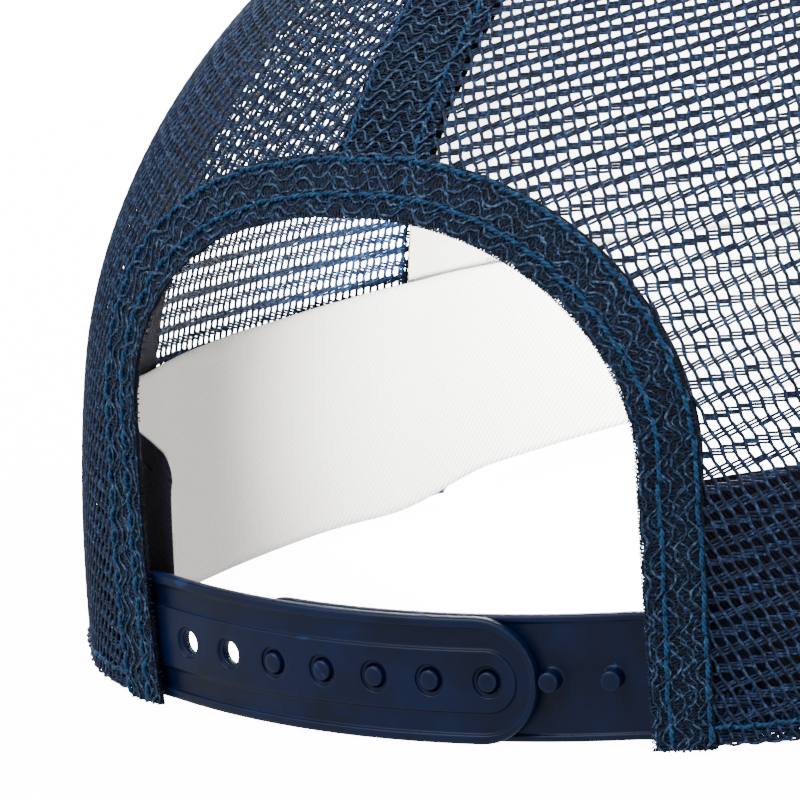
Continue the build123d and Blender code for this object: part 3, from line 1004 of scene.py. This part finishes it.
def front_grid(depth, low_lift, end_radius=0.0):
    """Grid over the front panel between its two seams, above the visor."""
    columns, count = 90, 70
    levels = np.linspace(0, 1, count)
    z_seam = heights(60, 0.01, 126.8 - depth)
    left = arc_on_seam(FRONT_SEAM_ARC, z_seam, depth)
    right = 2 * HALF_GIRTH - left
    share = np.linspace(0, 1, columns)
    foot_arc = FRONT_SEAM_ARC + share * 2 * (HALF_GIRTH - FRONT_SEAM_ARC)
    x, y = hem_xy(foot_arc, depth)
    foot = visor_top(x, y, 0.2) + low_lift
    top = 126.9 - depth
    turn = np.arcsin(np.clip(foot / top, 0, 1))
    angle = turn[None] + (pi / 2 - turn[None]) * levels[:, None]
    z = top * np.sin(angle)
    start = np.interp(z, z_seam, left)
    end = np.interp(z, z_seam, right)
    arc = start + (end - start) * share[None]
    points = crown(arc, z, depth)
    if end_radius:
        rows = int((from_axis(points).min(axis=1) > end_radius).sum())
        points = points[:rows]
    along = np.linalg.norm(np.diff(points, axis=1), axis=-1)
    u = np.concatenate([np.zeros((len(points), 1)), np.cumsum(along, axis=1)], 1)
    u = u - u[:, -1:] / 2
    return points, stacked(u, points[..., 2] * 1.15)


def build_front():
    outer, uv = front_grid(0.05, 0.0)
    inner, _ = front_grid(0.8, 0.0)
    cloth = slab("front_cloth", outer, inner, FRONT_CLOTH, uv, True)
    settle(cloth, ["front_panel_cover"])
    outer, uv = front_grid(1.0, 0.1, end_radius=9.2)
    inner, _ = front_grid(3.6, 0.1, end_radius=9.2)
    rows = min(len(outer), len(inner))
    foam = slab("front_foam", outer[:rows], inner[:rows], FOAM, uv[:rows], True)
    settle(foam, ["front_panel_foam"])


BAND_LEFT_ARC, BAND_RIGHT_ARC = 47.0, 2 * HALF_GIRTH - 47.5


def band_depth(arc):
    """Sweatband sits behind the strap ends at the back and against the foam in front."""
    near = np.abs(wrap(arc))
    behind_straps, against_mesh = 5.4, 2.8
    forward = ease((near - 72) / 22) - ease((near - 160) / 25)
    return behind_straps - (behind_straps - against_mesh) * forward


def build_sweatband():
    arcs = np.concatenate(
        [
            BAND_LEFT_ARC + np.array([0, 0.25, 0.6, 1.2, 2.0, 3.0]),
            np.linspace(BAND_LEFT_ARC + 5, BAND_RIGHT_ARC - 5, 300),
            BAND_RIGHT_ARC - np.array([3.0, 2.0, 1.2, 0.6, 0.25, 0]),
        ]
    )
    edge = np.minimum(arcs - BAND_LEFT_ARC, BAND_RIGHT_ARC - arcs)
    corner = 3.2
    drop = corner - np.sqrt(corner**2 - np.clip(corner - edge, 0, corner) ** 2)
    top = 39.0 - drop - 2.6 * np.exp(-edge / 7) + 0.25 * np.sin(arcs * 0.11)
    x, y = hem_xy(arcs, 5.4)
    low = np.full(len(arcs), 0.6)
    front = ease((np.abs(wrap(arcs)) - VISOR_ARC + 22) / 26)
    low = low + front * (np.maximum(low, visor_top(x, y) - VISOR_THICK + 0.2) - low)
    share = np.linspace(0, 1, 26)
    z = low[None] + (top - low)[None] * share[:, None]
    depth = band_depth(arcs)[None]
    roll = 0.5 * np.clip((share - 0.93) / 0.07, 0, 1) ** 2
    ripple = 0.12 * np.sin(arcs * 0.35)[None] * share[:, None]
    outer = crown(arcs[None], z, depth + roll[:, None] + ripple)
    inner = crown(arcs[None], z, depth + 1.2 - 0.45 * roll[:, None] + ripple)
    uv = stacked(arcs[None], z)
    middle = outer + (inner - outer) * 0.3
    band = slab("sweatband_twill", outer, middle, SWEATBAND, uv, True)
    settle(band, ["sweatband"])
    # the cotton face stops just short of the backing's edges
    trim = slice(0, 26), slice(4, -4)
    face = slab("sweatband_face", middle[trim], inner[trim], SWEATBAND_FACE, uv[trim], True)
    settle(face)
    path = crown(arcs[6:-6], (top - 3.6)[6:-6], depth[0, 6:-6] - 0.05)
    settle_parts("sweatband_stitches", [stitches(path, 3.0, 0.8, 0.22)], VISOR_THREAD)


# ---------------------------------------------------------------- visor


def visor_outline(a):
    """Plan of the visor's rim for angles from the wearer's left round the front."""
    half = float(hem_xy(VISOR_ARC)[0]) + VISOR_LEDGE
    root = float(hem_xy(VISOR_ARC)[1])
    reach = float(hem_xy(HALF_GIRTH)[1]) - VISOR_REACH
    x = half * np.sign(np.cos(a)) * np.abs(np.cos(a)) ** (2 / VISOR_POWER) + VISOR_FLARE * np.sin(2 * a)
    y = root + (reach - root) * np.abs(np.sin(a)) ** (2 / VISOR_POWER)
    return x, y


def visor_skin(name, above, material):
    """One fabric skin of the visor, rolled over the rim, with quilted stitch valleys."""
    count = 150
    a = np.linspace(0, pi, count)
    a = a + 0.12 * np.sin(2 * a)
    arcs = VISOR_ARC + np.linspace(0, 1, count) * 2 * (HALF_GIRTH - VISOR_ARC)
    root_x, root_y = hem_xy(arcs, VISOR_TUCK)
    rim_x, rim_y = visor_outline(a)
    span = np.hypot(rim_x - root_x, rim_y - root_y)
    inward = stacked(root_x - rim_x, root_y - rim_y) / np.maximum(span, 1e-6)[:, None]
    # distance from the rim, and height relative to the middle of the thickness
    half = VISOR_THICK / 2
    turn = np.linspace(0, pi / 2, 7)
    roll = [(half * (1 - np.cos(t)) * 0.9, half * np.sin(t)) for t in turn]
    flat = np.linspace(0, 1, 44)[1:]
    rows_in, rows_up = [], []
    for d, h in roll:
        rows_in.append(np.minimum(d, span * 0.4))
        rows_up.append(np.full(count, h) * np.clip(span / 4, 0.45, 1))
    start = rows_in[-1]
    for f in flat:
        rows_in.append(start + (span - start) * f)
        rows_up.append(np.full(count, half))
    inside = np.array(rows_in)
    up = np.array(rows_up)
    valley = np.zeros_like(up)
    for middle in VISOR_ROWS:
        valley += 0.22 * np.exp(-(((inside - middle) / 0.75) ** 2))
    up = up - np.where(inside > 3, valley, valley * np.clip((inside - 1.8) / 1.2, 0, 1))
    x = rim_x[None] + inward[None, :, 0] * inside
    y = rim_y[None] + inward[None, :, 1] * inside
    centre = visor_top(x, y) - half
    z = centre + (up if above else -up)
    outer = stacked(x, y, z)
    inner = stacked(x, y, centre + (up - 0.8 if above else 0.8 - up) * np.where(up > 0.9, 1, 0))
    uv = stacked(x, y)
    obj = slab(name, outer, inner, material, uv, above)
    return obj, (rim_x, rim_y, inward, span)


def build_visor():
    top, plan = visor_skin("visor_top_cloth", True, VISOR_CLOTH)
    settle(top, ["visor_top_cover", "visor_board"])
    under, _ = visor_skin("visor_under_cloth", False, VISOR_UNDER)
    settle(under, ["visor_under_cover"])
    rim_x, rim_y, inward, span = plan
    rows = []
    for distance in VISOR_ROWS:
        good = span > distance + 3
        x = (rim_x + inward[:, 0] * distance)[good]
        y = (rim_y + inward[:, 1] * distance)[good]
        for above in (True, False):
            z = visor_top(x, y) - (0.2 if above else VISOR_THICK - 0.2)
            path = stacked(x, y, z)
            rows.append(stitches(path, 2.9, 0.5, 0.26, 0.02, 0.3))
    settle_parts("visor_stitches", rows, VISOR_THREAD)


# ---------------------------------------------------------------- button


def lathe(name, profile, material, segments=64, wobble=None):
    """Closed solid of revolution about the crown's axis; profile runs from top to bottom."""
    angle = np.linspace(0, 2 * pi, segments, endpoint=False)
    rings = [[r * np.cos(angle), r * np.sin(angle), np.full(segments, z)] for r, z in profile[1:-1]]
    points = [np.array(ring).T for ring in rings]
    if wobble is not None:
        points = [wobble(ring) for ring in points]
    stack = np.concatenate(points)
    top = np.array([[0, 0, profile[0][1]]])
    bottom = np.array([[0, 0, profile[-1][1]]])
    faces = [f[::-1] for f in grid_faces(len(points), segments, close=True)]
    count = len(stack)
    last = segments * (len(points) - 1)
    for k in range(segments):
        n = (k + 1) % segments
        faces.append([count, k, n])
        faces.append([last + n, last + k, count + 1])
    stack = np.concatenate([stack, top, bottom])
    uv = stack[:, :2]
    return make_mesh(name, stack, faces, material, uv)


def build_button():
    base, peak = [corner.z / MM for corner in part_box("button_cap")]
    height = peak - base
    dome = [(0, peak)]
    for t in np.linspace(0.06, 1, 16):
        dome.append((8.0 * sin(t * pi / 2), base + 0.75 + (height - 0.75) * cos(t * pi / 2) ** 0.8))
    dome += [(8.05, base + 0.5), (7.9, base + 0.15), (7.2, base), (0, base)]

    def gathered(ring):
        angle = np.arctan2(ring[:, 1], ring[:, 0])
        edge = np.clip((from_axis(ring) - 5.5) / 2.5, 0, 1)
        ring[:, 2] += 0.1 * edge * np.sin(angle * 17)
        return ring

    settle(lathe("button_cloth", dome, BUTTON_CLOTH, 72, gathered), ["button_cap"])
    b, a = [corner.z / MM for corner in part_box("button_rivet")]
    shank = [(0, a), (1.35, a), (1.5, a - 0.2), (1.5, b + 0.3), (1.3, b), (0, b)]
    settle(lathe("button_shank", shank, METAL, 32), ["button_rivet"])
    b, a = [corner.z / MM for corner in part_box("button_washer")]
    disc = [
        (0, a), (2.0, a), (6.6, a), (7.7, a - 0.1), (8.0, (a + b) / 2), (7.7, b + 0.1),
        (6.8, b + 0.05), (5.4, b - 0.25), (4.4, b + 0.05), (2.4, b), (2.0, b - 0.3),
        (1.6, b - 0.35), (0, b - 0.35),
    ]
    settle(lathe("button_plate", disc, METAL, 64), ["button_washer"])


# ---------------------------------------------------------------- snap closure

PATCH = 4.2
SEGMENTS = 48
HALF_PITCH = HOLE_PITCH / 2
TIP_STEPS = SEGMENTS // 8
TAIL_LENGTH = 19.0

# Half sections beyond the flat middle, as distance from the middle line and depth
SOCKET_PROFILE = [
    (4.2, 1.5), (4.45, 1.5), (4.6, 1.53), (4.72, 1.64), (4.8, 1.86), (4.92, 2.0), (5.4, 2.01),
    (7.5, 2.01), (7.9, 1.99), (8.04, 1.9), (8.12, 1.6), (8.22, 1.44), (8.4, 1.4), (9.0, 1.4),
    (9.3, 1.46), (9.5, 1.62), (9.6, 1.9), (9.6, 2.9), (9.52, 3.16), (9.3, 3.3), (8.6, 3.3), (4.2, 3.3),
]
PEG_PROFILE = [
    (4.2, 3.8), (6.0, 3.8), (8.2, 3.8), (8.42, 3.78), (8.5, 3.6), (8.6, 3.44), (8.8, 3.4), (9.1, 3.4),
    (9.4, 3.46), (9.55, 3.62), (9.6, 3.85), (9.6, 4.65), (9.5, 4.88), (9.3, 5.0), (8.6, 5.0), (4.2, 5.0),
]


def strap_place(side, arc, height, depth):
    """Point of a strap; height is measured from the middle of the strap."""
    arc = np.asarray(arc, float)
    x, y = hem_xy(side * arc, 0.0)
    turn = np.interp(wrap(side * arc), TABLE_ARC, TABLE_TURN)
    droop = STRAP_DROOP * np.clip(1 - (arc / PIVOT_ARC) ** 2, 0, 1)
    z = STRAP_MIDDLE - droop + np.asarray(height, float)
    return stacked(x - depth * np.sin(turn), y - depth * np.cos(turn), z)


def walk(corners, steps):
    """Points along straight stretches, in equal steps, up to the last corner."""
    points = []
    for start, end in zip(corners, corners[1:]):
        for k in range(steps):
            points.append(tuple(a + (b - a) * k / steps for a, b in zip(start, end)))
    return points


def patch_border(centre, last):
    """Outline of a hole's patch: a square, or half a disc at the strap's end."""
    above, below = (HALF_PITCH, PATCH), (HALF_PITCH, -PATCH)
    if last:
        turns = pi / 2 + np.linspace(0, pi, SEGMENTS // 2, endpoint=False)
        middle = walk([above, (0, PATCH)], TIP_STEPS)
        middle += [(PATCH * cos(t), PATCH * sin(t)) for t in turns]
        middle += walk([(0, -PATCH), below], TIP_STEPS)
    else:
        middle = walk([above, (-HALF_PITCH, PATCH), (-HALF_PITCH, -PATCH), below], 2 * TIP_STEPS)
    start = walk([(HALF_PITCH, 0), above], TIP_STEPS)
    end = walk([below, (HALF_PITCH, 0)], TIP_STEPS)
    return np.array(start + middle + end) + (centre, 0)


class StrapShell:
    """Collects rings and fans in the strap's own (arc, height, depth)."""

    def __init__(self):
        self.points, self.faces = [], []

    def rings(self, rings, close=True, flip=False):
        faces = grid_faces(len(rings), len(rings[0]), len(self.points), close)
        for ring in rings:
            self.points.extend([tuple(p) for p in ring])
        self.faces.extend([f[::-1] for f in faces] if flip else faces)

    def fan(self, ring, centre, flip=False):
        start = len(self.points)
        self.points.extend([tuple(p) for p in ring])
        self.points.append(tuple(centre))
        for k in range(len(ring)):
            face = [start + k, start + (k + 1) % len(ring), start + len(ring)]
            self.faces.append(face[::-1] if flip else face)


def at_depth(border, depth):
    return np.concatenate([border, np.full((len(border), 1), depth)], 1)


def ring_at(border, centre, radius, depth):
    """Ring whose points are spaced nearly evenly but still face the border's points."""
    evenness = 0.7
    even = 2 * pi * np.arange(SEGMENTS) / SEGMENTS
    angle = np.arctan2(border[:, 1], border[:, 0] - centre)
    angle = angle + evenness * (np.mod(even - angle + pi, 2 * pi) - pi)
    return at_depth(stacked(centre + radius * np.cos(angle), radius * np.sin(angle)), depth)


def add_hole(build, border, centre, face, back):
    """Recess, land and bore of a hole, from the face to the back."""
    steps = [
        (2.95, face), (2.56, face + 0.01), (2.44, face + 0.06), (RECESS_RADIUS, face + 0.16),
        (2.38, face + 0.36), (2.3, face + 0.42), (1.98, face + 0.42), (1.86, face + 0.47),
        (HOLE_RADIUS, face + 0.6), (HOLE_RADIUS, back - 0.12), (1.88, back), (2.6, back),
    ]
    rings = [ring_at(border, centre, radius, depth) for radius, depth in steps]
    build.rings([at_depth(border, face)] + rings + [at_depth(border, back)])


def add_peg(build, border, centre, face, back):
    """Fillet, shank and rounded top of a peg, and the plain back behind it."""
    steps = [
        (2.6, face), (2.1, face), (1.78, face - 0.05), (1.62, face - 0.25), (PEG_RADIUS, face - 0.6),
        (PEG_RADIUS, PEG_TOP + 0.42), (PEG_RADIUS - 0.06, PEG_TOP + 0.2), (1.28, PEG_TOP + 0.06),
        (0.85, PEG_TOP), (0.4, PEG_TOP - 0.02),
    ]
    rings = [ring_at(border, centre, radius, depth) for radius, depth in steps]
    build.rings([at_depth(border, face)] + rings)
    build.fan(rings[-1], (centre, 0, PEG_TOP - 0.02))
    low = [ring_at(border, centre, radius, back) for radius in (2.8, 1.2)]
    build.rings([at_depth(border, back)] + low, flip=True)
    build.fan(low[-1], (centre, 0, back), flip=True)


def strap_outline(tail, first, last, tip_centre):
    """Outlines of the flat middle and of the whole strap, from the sewn end round the tip and back."""
    step = HOLE_PITCH / (2 * TIP_STEPS)
    arcs = np.arange(first + HALF_PITCH - step, last + HALF_PITCH - 1e-6, -step)
    inner = [(arc, PATCH) for arc in (*tail[::-1], *arcs)]
    outer = [(arc, STRAP_HALF) for arc in (*tail[::-1], *arcs)]
    start = last + HALF_PITCH
    for share in np.arange(1, TIP_STEPS + 1) / TIP_STEPS:
        inner.append((last + HALF_PITCH * (1 - share), PATCH))
        outer.append((start + (tip_centre - start) * share, STRAP_HALF))
    for angle in pi / 2 + pi * np.arange(1, SEGMENTS // 4 + 1) / (SEGMENTS // 2):
        inner.append((last + PATCH * cos(angle), PATCH * sin(angle)))
        outer.append((tip_centre + STRAP_HALF * cos(angle), STRAP_HALF * sin(angle)))
    inner += [(a, -h) for a, h in inner[-2::-1]]
    outer += [(a, -h) for a, h in outer[-2::-1]]
    return np.array(inner), np.array(outer)


def strap_mesh(name, side, centres, tip, back, profile):
    """One strap from its rounded tip to its sewn end."""
    build = StrapShell()
    face = profile[0][1]
    first, last = centres[0], centres[-1]
    add = add_hole if side > 0 else add_peg
    for centre in centres:
        add(build, patch_border(centre, centre == last), centre, face, back)
    end = PIVOT_ARC + TAIL_LENGTH
    tail = np.linspace(first + HALF_PITCH, end, 15)
    levels = np.linspace(PATCH, -PATCH, 2 * TIP_STEPS + 1)
    for depth, flip in ((face, False), (back, True)):
        rows = [stacked(arc, levels, depth) for arc in tail[::-1]]
        build.rings(rows, close=False, flip=flip)
    inner, outer = strap_outline(tail, first, last, tip + STRAP_HALF)
    columns = []
    for distance, depth in profile:
        share = (distance - PATCH) / (STRAP_HALF - PATCH)
        columns.append(at_depth(inner + (outer - inner) * share, depth))
    build.rings(columns, close=False)
    # the sewn end is closed by one face round the whole section
    loop = [(end, level, face) for level in levels[::-1]]
    loop += [(end, distance, depth) for distance, depth in profile[1:-1]]
    loop += [(end, level, back) for level in levels]
    loop += [(end, -distance, depth) for distance, depth in profile[-2:0:-1]]
    build.faces.append([len(build.points) + k for k in range(len(loop))][::-1])
    build.points.extend(loop)
    points = np.array(build.points)
    placed = strap_place(side, points[:, 0], points[:, 1], points[:, 2])
    faces = build.faces if side > 0 else [f[::-1] for f in build.faces]
    strap = make_mesh(name, placed, faces, PLASTIC, points[:, :2])
    merge(strap)
    return strap


def merge(obj):
    """Joins the points that neighbouring rings share."""
    work = bmesh.new()
    work.from_mesh(obj.data)
    bmesh.ops.remove_doubles(work, verts=work.verts, dist=1e-6)
    bmesh.ops.recalc_face_normals(work, faces=work.faces)
    work.to_mesh(obj.data)
    work.free()
    obj.data.polygons.foreach_set("use_smooth", [True] * len(obj.data.polygons))
    obj.data.update()


def build_straps():
    straps = (
        ("socket_strap", 1, "socket_side", HOLE_ARCS, -28.0, SOCKET_BACK, SOCKET_PROFILE, 2.65),
        ("peg_strap", -1, "peg_side", PEG_ARCS, -26.8, PEG_BACK, PEG_PROFILE, 4.4),
    )
    for word, side, body, arcs, tip, back, profile, depth in straps:
        strap = strap_mesh(word + "_satin", side, arcs, tip, back, profile)
        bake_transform(strap)
        settle(strap, [word, word + "_tab"], None)


# ---------------------------------------------------------------- studio


def build_floor():
    size, rows = 4000.0, 24
    line = np.linspace(-size, size, rows)
    x, y = np.meshgrid(line, line)
    points = stacked(x, y, np.full_like(x, -1.1))
    floor = make_mesh("floor", points, grid_faces(rows, rows), floor_material())
    # a lit sweep behind the cap, which adds no light to the cap itself
    floor.visible_diffuse = False
    floor.visible_glossy = False


def area_light(name, location, energy, size, aim=(0, 0, 50), spread=180):
    data = bpy.data.lights.new(name, "AREA")
    data.energy = energy
    data.spread = radians(spread)
    data.size = size
    obj = bpy.data.objects.new(name, data)
    obj.visible_camera = False
    obj.location = [c * MM for c in location]
    direction = np.array(aim, float) - np.array(location, float)
    obj.rotation_euler = Vector(direction).to_track_quat("-Z", "Y").to_euler()
    bpy.context.scene.collection.objects.link(obj)


CAMERA_AZIMUTH, CAMERA_ELEVATION, CAMERA_ROLL = radians(35.3), radians(12.1), radians(-4.51)
CAMERA_DISTANCE = 1100.0
CAMERA_LENS = 338.2
CAMERA_AIM_RIGHT, CAMERA_AIM_UP = 8.48, 50.54


def camera_axes():
    az, el, roll = CAMERA_AZIMUTH, CAMERA_ELEVATION, CAMERA_ROLL
    right = np.array([-cos(az), -sin(az), 0])
    back = np.array([-sin(az) * cos(el), cos(az) * cos(el), sin(el)])
    up = np.cross(back, right)
    return (
        right * cos(roll) + up * sin(roll),
        -right * sin(roll) + up * cos(roll),
        back,
        right,
    )


def build_camera():
    x, y, back, right = camera_axes()
    target = np.array([0, APEX, 0]) + right * CAMERA_AIM_RIGHT + np.array([0, 0, CAMERA_AIM_UP])
    place = (target + back * CAMERA_DISTANCE) * MM
    matrix = Matrix.Identity(4)
    for row in range(3):
        for column, axis in enumerate((x, y, back)):
            matrix[row][column] = axis[row]
        matrix[row][3] = place[row]
    data = bpy.data.cameras.new("camera")
    data.lens = CAMERA_LENS
    data.sensor_width = 36
    data.clip_end = 50
    camera = bpy.data.objects.new("camera", data)
    camera.matrix_world = matrix
    bpy.context.scene.collection.objects.link(camera)
    bpy.context.scene.camera = camera


def build_studio():
    build_floor()
    x, y, back, _ = camera_axes()
    centre = np.array([0, 40, 60.0])
    key = centre - x * 900 + y * 900 + back * 700
    fill = centre + x * 1200 + y * 300 + back * 700
    top = centre + np.array([0, 0, 1300.0])
    area_light("key", key, 16, 0.9, centre)
    area_light("fill", fill, 9, 1.2, centre)
    area_light("top", top, 9, 1.4, centre)
    area_light("front", centre - back * 1100 + np.array([0, 0, 350.0]), 16, 1.2, centre)
    area_light("inside_front", (-8, 46, 70), 0.3, 0.05, (20, -90, 66), 84)
    area_light("inside_low", (-5, 46, 26), 0.4, 0.04, (45, -60, 22), 90)
    world = bpy.data.worlds.new("studio")
    world.use_nodes = True
    background = world.node_tree.nodes["Background"]
    background.inputs["Color"].default_value = (1, 1, 1, 1)
    background.inputs["Strength"].default_value = 0.9
    bpy.context.scene.world = world


build_mesh_panels()
build_seam_folds()
build_crown_top()
build_hem()
build_binding()
build_tapes()
build_front()
build_sweatband()
build_visor()
build_button()
build_straps()
build_studio()
build_camera()
